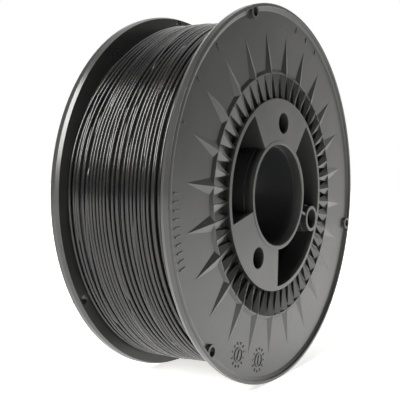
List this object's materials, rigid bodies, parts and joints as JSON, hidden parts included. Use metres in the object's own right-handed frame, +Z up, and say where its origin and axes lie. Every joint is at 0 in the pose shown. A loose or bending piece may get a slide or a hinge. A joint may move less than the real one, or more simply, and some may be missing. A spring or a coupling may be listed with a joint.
{
  "type": "filament spool",
  "caption": "Filament spool with ribbed side discs, a wide axle bore, hub windows and pin holes, fully wound with black filament.",
  "frame": {"origin": "centre of the spool: on the axle bore's axis, midway between the two side discs", "axes": "+Y along the axle from the front disc to the rear disc, +Z up as the spool stands on its rims, +X to the right seen from the front (-Y) side"},
  "size_m": [0.2, 0.07, 0.2],
  "materials": {
    "side_disc_plastic": "satin moulded polystyrene, charcoal black",
    "core_plastic": "satin moulded polystyrene, black",
    "filament": "smooth extruded filament, black, satin gloss"
  },
  "bodies": {
    "root": {"front_side_disc": "side_disc_plastic", "rear_side_disc": "side_disc_plastic", "winding_drum": "core_plastic", "axle_sleeve": "core_plastic", "key_tie_tube": "core_plastic", "upper_tie_tube": "core_plastic", "lower_tie_tube": "core_plastic", "filament_winding": "filament"}
  },
  "joints": []
}
